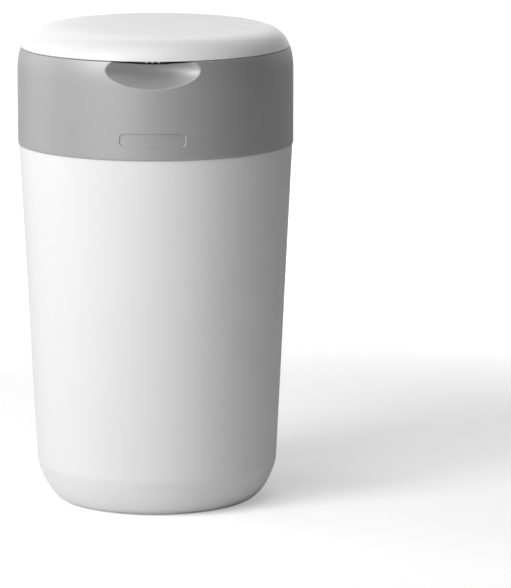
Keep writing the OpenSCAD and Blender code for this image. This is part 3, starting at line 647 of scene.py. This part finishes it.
def make_band():
    fine_turns, coarse_turns = spaced(-24, 24, 0.2), spaced(25.5, 334.5, 1.5)
    band = lathe(band_profile, fine_turns + coarse_turns)
    # Pocket of the lid hinge: floor, front wall and sides, kept inside the skin
    side_x = LID_NOTCH_X + 4
    floor_z = LID_NOTCH_Z - POCKET_WALL
    pocket = block((-side_x, POCKET_Y, floor_z), (side_x, FAR_Y, SEAM_Z - 0.1))
    under_skin = lathe([(0, 375), (124.7, 375), (124.7, 400), (121.5, SEAM_Z), (0, SEAM_Z)],
                       even_turns(120))
    combine(pocket, "INTERSECT", under_skin)
    combine(pocket, "DIFFERENCE", block((-LID_NOTCH_X - 2.2, POCKET_Y - 1, DECK_Z - 0.1),
                                        (LID_NOTCH_X + 2.2, POCKET_Y + POCKET_WALL, FAR_Y * 4)))
    combine(band, "UNION", pocket)
    combine(band, "DIFFERENCE", block((-LID_NOTCH_X, POCKET_Y + POCKET_WALL, LID_NOTCH_Z),
                                      (LID_NOTCH_X, FAR_Y, 425)))
    lug = x_rod(LID_BARREL_R, -LID_LUG_X, LID_LUG_X, LID_HINGE_Y, LID_HINGE_Z)
    combine(lug, "UNION", block((-LID_LUG_X, POCKET_Y + 1, LID_HINGE_Z - 3.5),
                                (LID_LUG_X, LID_HINGE_Y, LID_HINGE_Z + 3.5)))
    combine(band, "UNION", bevelled(lug, 0.5, 2))
    # Tilt hinge: relief over the tub's knuckles, then the housing's own knuckle and its web
    combine(band, "DIFFERENCE", block((-TILT_NOTCH_X, TILT_Y - 12, BAND_Z - 1),
                                      (TILT_NOTCH_X, FAR_Y, TILT_Z + TILT_NOTCH_GAP)))
    knuckle = x_rod(TILT_BARREL_R, -TILT_MIDDLE_X, TILT_MIDDLE_X, TILT_Y, TILT_Z)
    web = block((-TILT_MIDDLE_X, TILT_WALL_Y + 2, TILT_Z), (TILT_MIDDLE_X, FAR_Y, TILT_Z + 12))
    combine(web, "INTERSECT", cylinder(BAND_R - 0.05, 240))
    combine(knuckle, "UNION", web)
    combine(band, "UNION", bevelled(knuckle, 0.4, 2))
    pin_half_x = LID_NOTCH_X + 2.6
    combine(band, "DIFFERENCE", x_rod(PIN_HOLE_R, -pin_half_x, pin_half_x, LID_HINGE_Y, LID_HINGE_Z),
            x_rod(PIN_HOLE_R, -TILT_NOTCH_X, TILT_NOTCH_X, TILT_Y, TILT_Z))
    # Windows for the release buttons
    window = prism(rectangle(BUTTON_W + 0.8, BUTTON_H + 0.8, 4, 0, BUTTON_Z), BUTTON_CUT_X, FAR_Y, ALONG_X)
    combine(band, "DIFFERENCE", mirrored(window), window)
    # Screw bosses under the deck
    for turn in SCREW_TURNS:
        boss = prism(circle(BOSS_R, BOSS_AT), BOSS_LOW_Z, DECK_Z - 1)
        hole = prism(circle(BOSS_HOLE_R, BOSS_AT), BOSS_LOW_Z - 1, DECK_Z - 2.5)
        combine(band, "UNION", turned(boss, turn))
        combine(band, "DIFFERENCE", turned(hole, turn))
    return band


# ---- tub ----
TUB_TOP_R = 125.1
TUB_LOW_R = 110.25
CREASE_Z = 35.7
CREASE_POWER, CREASE_TUCK = 1.55, 5.5
FOOT_R, FOOT_RING_W = 86, 12
TUB_FLOOR_Z = 4
SPIGOT_R, SPIGOT_Z = (119.5, 122.4), 342  # rim that goes up into the band
CATCH_HALF_W, CATCH_LOW_Z = 9, 332.8
ABOVE_RIM_Z = 360  # where the tools that cut the rim from above start


def tub_under(inset, steps=40):
    """Curve from the foot up to the crease, where it meets the wall at an angle."""
    low_r, foot_r = TUB_LOW_R - inset, FOOT_R - inset / 2
    power = 2 / CREASE_POWER
    out = []
    for i in range(steps + 1):
        t = math.pi / 2 * (1 - i / steps)
        below = math.sin(t) ** power
        tuck = CREASE_TUCK * below * (1 - below) ** 2
        out.append((foot_r + (low_r - foot_r) * max(math.cos(t), 0) ** power - tuck,
                    inset + (CREASE_Z - inset) * (1 - below)))
    return out


def make_tub():
    slope = (TUB_TOP_R - TUB_LOW_R) / (BAND_Z - CREASE_Z)

    def wall_points(inset, heights):
        return [(TUB_LOW_R - inset + slope * (z - CREASE_Z), z) for z in heights]

    ring_r, shoulder_z = FOOT_R - FOOT_RING_W, BAND_Z - 16
    foot = [(0, TUB_FLOOR_Z), (ring_r, TUB_FLOOR_Z), (ring_r + 1, 0)]
    outside = wall_points(0, [CREASE_Z + 0.5] + spaced(CREASE_Z + 8, BAND_Z - 0.4, 14))
    rim_in, rim_out = SPIGOT_R
    rim = [(TUB_TOP_R - 0.4, BAND_Z), (rim_out, BAND_Z), (rim_out - 0.5, SPIGOT_Z - 0.5),
           (rim_out - 1, SPIGOT_Z), (rim_in + 0.4, SPIGOT_Z), (rim_in, SPIGOT_Z - 0.4),
           (rim_in + 0.2, BAND_Z - 4)]
    inside = wall_points(WALL, [shoulder_z] + spaced(CREASE_Z + 12, shoulder_z - 14, 14)[::-1])
    floor = tub_under(WALL + 0.4)[::-1] + [(0, TUB_FLOOR_Z + WALL)]
    tub = lathe(foot + tub_under(0) + outside + rim + inside + floor, even_turns(288))
    # Pocket that closes off the tilt hinge from the inside
    pocket_x = TILT_NOTCH_X + 2.5
    pocket = block((-pocket_x, TILT_WALL_Y - 2.9, TILT_NOTCH_Z - 3), (pocket_x, FAR_Y, SPIGOT_Z - 0.1))
    combine(pocket, "INTERSECT", cylinder(rim_in + 1, 240))
    combine(tub, "UNION", pocket)
    combine(tub, "DIFFERENCE", block((-TILT_NOTCH_X, TILT_WALL_Y, TILT_NOTCH_Z),
                                     (TILT_NOTCH_X, FAR_Y, ABOVE_RIM_Z)))
    # Outer knuckles of the hinge, one each side of the housing's own
    knuckle_x = (TILT_MIDDLE_X + 0.5, TILT_NOTCH_X - 1)
    knuckle = x_rod(TILT_BARREL_R, *knuckle_x, TILT_Y, TILT_Z)
    arm = block((knuckle_x[0], TILT_WALL_Y - 0.5, TILT_Z - TILT_BARREL_R),
                (knuckle_x[1], TILT_Y, TILT_Z + TILT_BARREL_R))
    web = block((knuckle_x[0], TILT_WALL_Y - 0.2, TILT_NOTCH_Z - 0.5), (knuckle_x[1], TILT_Y + 1, TILT_Z))
    combine(knuckle, "UNION", arm, web)
    bevelled(knuckle, 0.4, 2)
    combine(tub, "UNION", mirrored(knuckle), knuckle)
    combine(tub, "DIFFERENCE", x_rod(PIN_HOLE_R, -TILT_NOTCH_X, TILT_NOTCH_X, TILT_Y, TILT_Z))
    # Slots at the sides, open at the top, for the noses of the release buttons
    slot = block((rim_in - 0.6, -CATCH_HALF_W, CATCH_LOW_Z), (FAR_Y, CATCH_HALF_W, ABOVE_RIM_Z))
    return combine(tub, "DIFFERENCE", mirrored(slot), slot)


# ---- cassette ----
CASSETTE_Z = 324.6
CASSETTE_H = 66.7
NECK_H = 80
CAP_R = 92.5
CAP_UPPER_R = 91.2
CORE_R, CORE_T = 56.5, 2
WALL_R, WALL_T, WALL_FLARE = 86.5, 1.6, 1.4
CAP_SKIRT_H, CAP_FLARE_H, CAP_T, CAP_RIM_R = 20, 8.4, 1.6, 84.5
CAP_SLOT_W, CAP_SLOT_DROP = 12, (8.1, 2.6)
PANEL_TURNS = [60 * i for i in range(6)]
PANEL_ARC, PANEL_EDGE = 19, 0.8


def panel_dip(turn, z):
    """1 in the six shallow panels of the cassette's wall, one under each drive slot, and 0 elsewhere."""
    off = min(abs((turn - p + 180) % 360 - 180) for p in PANEL_TURNS)
    low_z, high_z = CASSETTE_Z + 3, CASSETTE_Z + CASSETTE_H - CAP_SKIRT_H
    across = soft_step((PANEL_ARC / 2 - off) * math.radians(1) * WALL_R, PANEL_EDGE)
    return across * soft_step(z - low_z, PANEL_EDGE) * soft_step(high_z - z, PANEL_EDGE)


def make_cassette_body():
    low_z, top_z = CASSETTE_Z, CASSETTE_Z + CASSETTE_H - 2
    core_out, neck_z = CORE_R + CORE_T, CASSETTE_Z + NECK_H
    top_r, in_r = WALL_R + WALL_FLARE, WALL_R - WALL_T
    slope = WALL_FLARE / (top_z - low_z - 2)
    # Closest together at the panels' lower and upper edges
    rows = spaced(low_z + 2, low_z + 4.4, 0.4) + spaced(low_z + 8, 366, 6)
    rows += spaced(369.9, 372.7, 0.4) + spaced(376, top_z - 0.4, 4)
    base = [(CORE_R, low_z + 0.3), (CORE_R + 0.3, low_z), (WALL_R - 2, low_z), (WALL_R - 0.9, low_z + 0.4),
            (WALL_R - 0.3, low_z + 1.1)]
    inside = [(top_r - 0.3, top_z), (top_r - WALL_T + 0.3, top_z), (top_r - WALL_T, top_z - 0.3),
              (in_r, low_z + WALL_T), (core_out, low_z + WALL_T)]
    neck = [(core_out, neck_z - 3), (core_out + 0.5, neck_z - 2.4), (core_out + 0.8, neck_z - 1.5),
            (core_out + 0.5, neck_z - 0.6), (core_out, neck_z - 0.15), (core_out - 0.5, neck_z),
            (CORE_R + 0.5, neck_z), (CORE_R, neck_z - 0.5)]

    def profile(turn):
        wall = []
        for z in rows:
            plain = WALL_R + slope * (z - low_z - 2)
            wall.append((plain - (plain - WALL_R + 0.2) * panel_dip(turn, z), z))
        return base + wall + inside + neck

    return lathe(profile, even_turns(540))


def make_cassette_cap():
    top_z = CASSETTE_Z + CASSETTE_H
    low_z = top_z - CAP_SKIRT_H
    flare_z = low_z + CAP_FLARE_H
    inner_r = CAP_UPPER_R - CAP_T
    profile = rounded([
        (CAP_R - CAP_T, low_z, 0.4), (CAP_R, low_z, 0.5), (CAP_R - 0.1, flare_z - 1.6, 0.6),
        (CAP_UPPER_R, flare_z, 0.6), (CAP_UPPER_R, top_z - 2, 1.2), (CAP_UPPER_R - 2, top_z, 1.2),
        (CAP_RIM_R, top_z, 0.5), (CAP_RIM_R, top_z - CAP_T, 0.4), (inner_r, top_z - CAP_T),
        (inner_r, flare_z)])
    cap = lathe(profile, even_turns(240))
    low_slot, high_slot = [top_z - drop for drop in CAP_SLOT_DROP]
    outline = rectangle(CAP_SLOT_W, high_slot - low_slot, 0.8, 0, (low_slot + high_slot) / 2, 3)
    for turn in PANEL_TURNS:
        slot = prism(outline, inner_r - 2, CAP_R + 2, ALONG_X)
        combine(cap, "DIFFERENCE", turned(slot, turn - 90))
    return cap


def make_film():
    """Pleated film, packed in the ring: folds stacked on the sides and gathered, crumpled pleats on top."""
    inner, outer = CORE_R + CORE_T + 0.7, WALL_R - WALL_T - 0.6
    low_z, top_z = CASSETTE_Z + 2, CASSETTE_Z + CASSETTE_H - 3
    pleats, rings, columns = 24, 22, 540
    pleat_h = (top_z - 2 - low_z) / pleats

    def crumple(turn, r, scale):
        a = math.radians(turn)
        at = Vector((r * math.cos(a), r * math.sin(a), r * 0.4)) * scale
        return noise.noise(at), noise.noise(at * 2.3 + Vector((7, 3, 1)))

    def profile(turn):
        points = []
        for i in range(pleats):
            z = low_z + pleat_h * i
            shake = crumple(turn, outer + i * 9, 0.05)[0]
            points += [(outer - 1.4 + 0.5 * shake, z), (outer - 0.3 - 0.5 * abs(shake), z + pleat_h * 0.45),
                       (outer - 0.6 - 0.5 * abs(shake), z + pleat_h * 0.6)]
        for i in range(rings + 1):
            r = outer - 1 - (outer - inner - 1) * i / rings
            broad, fine = crumple(turn, r, 0.11)
            fold = 1 - abs(math.sin(math.radians(turn * 18 + 160 * broad + r * 5)))
            ridge = 1 - 2.2 * abs(fine)
            drop = 4.6 * min(max(0.55 * fold + 0.45 * (1 - ridge) + 0.25 * broad, 0), 1)
            edge = min(i, rings - i, 2) / 2
            points.append((r, top_z - 1.2 * (1 - edge) - drop))
        points += [(inner, top_z - 6), (inner, low_z + 1), (inner + 1, low_z)]
        return points

    return lathe(profile, even_turns(columns))


# ---- twist ring ----
RAIL_R, RAIL_Z, FLANGE_R = (70.5, 72.4), (394, 409), 75
WEB_INNER_R = RAIL_R[1] + 0.2
RING_R = 95.4
RING_ROOT_R = 94.4
WEB_Z = 400.7
GRIP_R = (77, 91)
GRIP_W = 9
GRIP_TOP_Z = 424
TEETH = 24
TOOTH_CORNERS = ((93.8, -4), (95.3, 1.8), (95.3, 2.4), (93.8, 2.8))  # radius and turn of each
PRONG_ARC = (-3.3, -1.1, 1.1, 3.3)
PRONG_LOW_Z, HOOK_TOP_Z = 383.6, 388.3
PRONG_R, HOOK_R = (92.8, 93.7), (89.9, 93.25)


def at_turn(r, turn):
    return r * math.cos(math.radians(turn)), r * math.sin(math.radians(turn))


def prong_outline(inner_r, outer_r):
    return [at_turn(outer_r, a) for a in PRONG_ARC] + [at_turn(inner_r, a) for a in reversed(PRONG_ARC)]


def make_twist_ring():
    profile = rounded([
        (WEB_INNER_R, WEB_Z, 0.3), (RING_ROOT_R, WEB_Z),
        (RING_ROOT_R, 404.4), (RING_R, 404.4), (RING_R, DECK_Z, 0.5), (RING_R - 1.6, DECK_Z + 0.6, 0.5),
        (RING_R - 3, DECK_Z - 2, 1), (88.6, WEB_Z + 2, 3), (WEB_INNER_R, WEB_Z + 2, 0.5)])
    ring = lathe(profile, even_turns(240))
    half = (GRIP_R[1] - GRIP_R[0]) / 2
    middle = GRIP_R[0] + half
    low_z, round_z = WEB_Z + 1, GRIP_TOP_Z - half
    arch = [(middle - half, low_z), (middle + half, low_z)]
    arch += [(middle + x, round_z + z) for x, z in (at_turn(half, a) for a in range(0, 181, 10))]
    upright = Matrix(((1, 0, 0), (0, 0, -1), (0, 1, 0))).to_4x4()
    for turn in (0, 90, 180, 270):
        grip = bevelled(prism(arch, -GRIP_W / 2, GRIP_W / 2, upright), 1.2, 4)
        combine(ring, "UNION", turned(grip, turn))
    tooth = [at_turn(r, a) for r, a in TOOTH_CORNERS]
    for i in range(TEETH):
        combine(ring, "UNION", turned(prism(tooth, WEB_Z, 405), (i + 0.5) * 360 / TEETH))
    # Prongs that reach down past the cap and hook into its slots
    leg, hook = prong_outline(*PRONG_R), prong_outline(*HOOK_R)
    for i in range(6):
        prong = prism(leg, PRONG_LOW_Z, WEB_Z + 1)
        combine(prong, "UNION", prism(hook, PRONG_LOW_Z, HOOK_TOP_Z))
        combine(ring, "UNION", turned(bevelled(prong, 0.2, 2), 30 + 60 * i))
    return ring


# ---- springs ----
def coil_path(r, pitch, turns, start_leg, end_leg, per_turn=28):
    """Points along a wire: a helix about +Z, with a leg at its start and at its end.

    Each leg is where the wire ends, seen from the helix's own end.
    """
    count = round(turns * per_turn)
    helix = []
    for i in range(count + 1):
        a = 2 * math.pi * turns * i / count
        helix.append(Vector((r * math.cos(a), r * math.sin(a), pitch * turns * i / count)))
    return [helix[0] + Vector(start_leg)] + helix + [helix[-1] + Vector(end_leg)]


def spring_place(turn, at, *rotations):
    """Matrix that rotates a coil about its own start, moves that to at and turns it about the bin's axis."""
    place = Matrix.Rotation(math.radians(turn), 4, "Z") @ Matrix.Translation(at)
    for angle, axis in rotations:
        place = place @ Matrix.Rotation(math.radians(angle), 4, axis)
    return place


def wire(path, diameter, matrix, sides=10):
    rings = []
    for i, point in enumerate(path):
        way = (path[min(i + 1, len(path) - 1)] - path[max(i - 1, 0)]).normalized()
        side = Vector((point.x, point.y, 0)).cross(way).normalized()
        up = way.cross(side)
        for k in range(sides):
            a = 2 * math.pi * k / sides
            rings.append(matrix @ (point + (side * math.cos(a) + up * math.sin(a)) * diameter / 2))
    n = len(path)
    faces = [tuple(range(sides)), tuple(range((n - 1) * sides, n * sides))]
    for i in range(n - 1):
        for k in range(sides):
            b = (k + 1) % sides
            faces.append((i * sides + k, i * sides + b, (i + 1) * sides + b, (i + 1) * sides + k))
    return new_object(rings, faces)


FLAP_HINGE_R, FLAP_Z = 60, 314
FLAP_WIRE, FLAP_PITCH, FLAP_COILS = 0.9, 1.6, 5.25
SPRING_SEAT_R, BUTTON_STEM_R = 99.2, 112
BUTTON_WIRE, BUTTON_COILS = 1, 5


def make_flap_spring(turn):
    """Torsion spring round a flap's pin, one leg on the clamp plate and the other on the flap's stop.

    It is made at the back, so that turn 0 is the back flap's.
    """
    path = coil_path(3, FLAP_PITCH, FLAP_COILS, (0, -5.5, 0), (-11, 0, 0))
    start = (FLAP_PITCH * FLAP_COILS / 2, FLAP_HINGE_R, FLAP_Z)
    return wire(path, FLAP_WIRE, spring_place(turn, start, (-90, "X"), (-90, "Y")))


def make_button_spring(turn):
    pitch = (BUTTON_STEM_R - SPRING_SEAT_R - 2 * BUTTON_WIRE) / BUTTON_COILS
    path = coil_path(3.6, pitch, BUTTON_COILS, (0, 0, -BUTTON_WIRE), (0, 0, BUTTON_WIRE))
    start = (SPRING_SEAT_R + BUTTON_WIRE, 0, BUTTON_Z)
    return wire(path, BUTTON_WIRE, spring_place(turn, start, (90, "Y")))


# ---- release buttons ----
def curved_plate(w, h, corner, inner_r, outer_r):
    """Plate on the +X side whose face follows the band."""
    plate = prism(rectangle(w, h, corner, 0, BUTTON_Z), BUTTON_CUT_X, FAR_Y, ALONG_X)
    combine(plate, "INTERSECT", cylinder(outer_r, 360))
    return combine(plate, "DIFFERENCE", cylinder(inner_r, 360))


def make_button(turn):
    plate_r, leg_r, nose_r = 121.6, (116.2, 118.9), 121.2
    leg_half_w, leg_low_z, nose_top_z = 7.5, 333.6, 337
    push = bevelled(curved_plate(BUTTON_W, BUTTON_H, 3.6, plate_r, BAND_R - 0.1), 0.6, 3)
    # Three grooves for the fingertip
    for z in (-3, 0, 3):
        groove = prism(rectangle(19, 1.1, 0.5, 0, BUTTON_Z + z, 3), BAND_R - 1.2, FAR_Y, ALONG_X)
        combine(push, "DIFFERENCE", groove)
    lip = bevelled(curved_plate(BUTTON_W + 3, BUTTON_H + 3, 5, plate_r, BAND_R - WALL - 0.2), 0.3, 2)
    stem = bevelled(block((BUTTON_STEM_R, -4, BUTTON_Z - 4), (plate_r + 1, 4, BUTTON_Z + 4)), 0.4, 2)
    leg = block((leg_r[0], -leg_half_w, leg_low_z), (leg_r[1], leg_half_w, BUTTON_Z - 0.2))
    nose = block((leg_r[0] + 0.1, -leg_half_w, leg_low_z), (nose_r, leg_half_w, nose_top_z))
    combine(leg, "UNION", nose)
    combine(push, "UNION", lip, stem, bevelled(leg, 0.4, 2))
    return turned(push, turn)


# ---- cutter ----
def sector(outer_r, inner_r, low_z, high_z, half_arc, steps=6):
    """Part of a ring, centred on the front."""
    arc = [math.radians(half_arc * (2 * i / steps - 1)) for i in range(steps + 1)]
    outline = [(outer_r * math.sin(a), -outer_r * math.cos(a)) for a in arc]
    outline += [(inner_r * math.sin(a), -inner_r * math.cos(a)) for a in reversed(arc)]
    return prism(outline, low_z, high_z)


def make_cutter_slider():
    """Upside-down channel that straddles the rail, with a thumb tab."""
    half_arc, tab_half_arc = 7.5, 2.4
    low_z, roof_z, top_z, tab_z = 405, 409.3, 411.3, 416
    inner = (RAIL_R[0] - 1.5, RAIL_R[0] - 0.3)
    outer = (RAIL_R[1] + 0.3, RAIL_R[1] + 2.2)
    slider = sector(outer[1], inner[0], roof_z, top_z, half_arc)
    for wall in (inner, outer):
        combine(slider, "UNION", sector(wall[1], wall[0], low_z, roof_z + 0.7, half_arc))
    bevelled(slider, 0.35, 2)
    tab = bevelled(sector(outer[1] - 0.1, inner[0] + 1, top_z - 0.7, tab_z, tab_half_arc), 1.0, 4)
    return combine(slider, "UNION", tab)


def make_rail():
    (inner, outer), (low_z, top_z) = RAIL_R, RAIL_Z
    profile = rounded([
        (inner, low_z, 0.4), (outer, low_z, 0.4), (outer, WEB_Z - 2), (FLANGE_R, WEB_Z - 2, 0.4),
        (FLANGE_R, WEB_Z), (outer, WEB_Z), (outer, top_z, 0.6), (inner, top_z, 0.6)])
    return lathe(profile, even_turns(240))


# ---- assembly ----
def grey(value):
    return (value, value, value)


WHITE_GLOSS = plastic("white_gloss", grey(0.8), 0.36, grain=0.02)
WHITE_SATIN = plastic("white_satin", grey(0.81), 0.55, grain=0.1)
BAND_GREY = plastic("band_grey", grey(0.43), 0.52, grain=0.12, metallic=0.45)
INNER_WHITE = plastic("inner_white", grey(0.78), 0.4)
INNER_GREY = plastic("inner_grey", grey(0.33), 0.42)
DARK_GREY = plastic("dark_grey", grey(0.13), 0.42)
CASSETTE_BLUE = plastic("cassette_blue", (0.142, 0.195, 0.305), 0.34)
FILM_WHITE = plastic("film_white", (0.8, 0.83, 0.86), 0.28)
RUBBER = plastic("rubber", grey(0.06), 0.6)
ORANGE = plastic("cutter_orange", (0.8, 0.24, 0.03), 0.35)
STEEL = steel("steel", grey(0.62), 0.28)

SLOT_FINISH = {
    "tub_white": WHITE_SATIN, "band_grey": BAND_GREY, "lid_white": WHITE_GLOSS, "holder_white": INNER_WHITE,
    "clamp_grey": INNER_GREY, "ring_grey": INNER_GREY, "flap_white": INNER_WHITE, "button_grey": DARK_GREY,
    "cassette_blue": CASSETTE_BLUE, "film": FILM_WHITE, "seal_rubber": RUBBER, "cutter_grip": ORANGE,
    "steel": STEEL, "spring_steel": STEEL,
}


def dress_cad_nodes():
    """Every node that stays visible gets the finish of its slot."""
    slot_of = {part["node"]: part["material_slot"] for part in frame["record"]["subparts"]}
    for name, obj in frame["nodes"].items():
        finish = SLOT_FINISH[slot_of[name]]
        for i in range(len(obj.data.materials)):
            obj.data.materials[i] = finish
        if not obj.data.materials:
            obj.data.materials.append(finish)


make_camera()
make_world(low=0.02, high=0.1)
make_floor(half_size=6, shade=0.86, glow=(0.37, 1))
area_light("key", -49, 34, 2.2, (0.8, 1.3), 7.3)
area_light("side", -105, 18, 2.0, (0.7, 1.6), 2.3)
area_light("front", -26, 20, 2.2, (0.8, 1.2), 3.4)
area_light("rim_right", 165, 6, 2.2, (0.8, 1.8), 0.6)
area_light("rim_left", -165, 6, 2.2, (0.8, 1.8), 0.6)
area_light("top", -20, 70, 2.4, (1.6, 1.6), 1.8)
area_light("back", 180, 40, 2.0, (1.6, 0.8), 0.9)
dress_cad_nodes()
piece(make_lid(), "lid_dome", "lid", "lid_white", WHITE_GLOSS, "lid_shell")
piece(make_band(), "band", "housing", "band_grey", BAND_GREY, "top_housing")
piece(make_tub(), "tub_body", "tub", "tub_white", WHITE_SATIN, "tub")
piece(make_liner(), "liner_disc", "lid", "holder_white", INNER_WHITE, "lid_liner")
piece(make_seal_carrier(), "seal_channel", "lid", "holder_white", INNER_WHITE, "seal_carrier")
piece(make_seal(), "seal_lip", "lid", "seal_rubber", RUBBER, "lid_seal")
piece(make_cassette_body(), "refill_body", "rotor", "cassette_blue", CASSETTE_BLUE, "cassette_body")
piece(make_cassette_cap(), "refill_cap", "rotor", "cassette_blue", CASSETTE_BLUE, "cassette_cap")
piece(make_film(), "refill_film", "rotor", "film", FILM_WHITE, "film_pack", sharp_angle=60)
piece(make_twist_ring(), "finger_ring", "rotor", "ring_grey", INNER_GREY, "twist_ring")
piece(make_rail(), "inner_rail", "rotor", "ring_grey", INNER_GREY, "cutter_rail")
piece(make_cutter_slider(), "cutter_channel", "cutter", "cutter_grip", ORANGE, "cutter_slider")
for side, turn in (("front", 180), ("back", 0), ("left", 90), ("right", 270)):
    spring = make_flap_spring(turn)
    piece(spring, "torsion_spring_" + side, "housing", "spring_steel", STEEL, "flap_spring_" + side,
          sharp_angle=60)
for side, turn in (("left", 180), ("right", 0)):
    button = make_button(turn)
    piece(button, "push_button_" + side, "release_" + side, "button_grey", DARK_GREY,
          "release_button_" + side)
    spring = make_button_spring(turn)
    piece(spring, "coil_spring_" + side, "housing", "spring_steel", STEEL, "release_spring_" + side,
          sharp_angle=60)
    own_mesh(spring)

scene = bpy.context.scene
scene.view_settings.view_transform = "Standard"
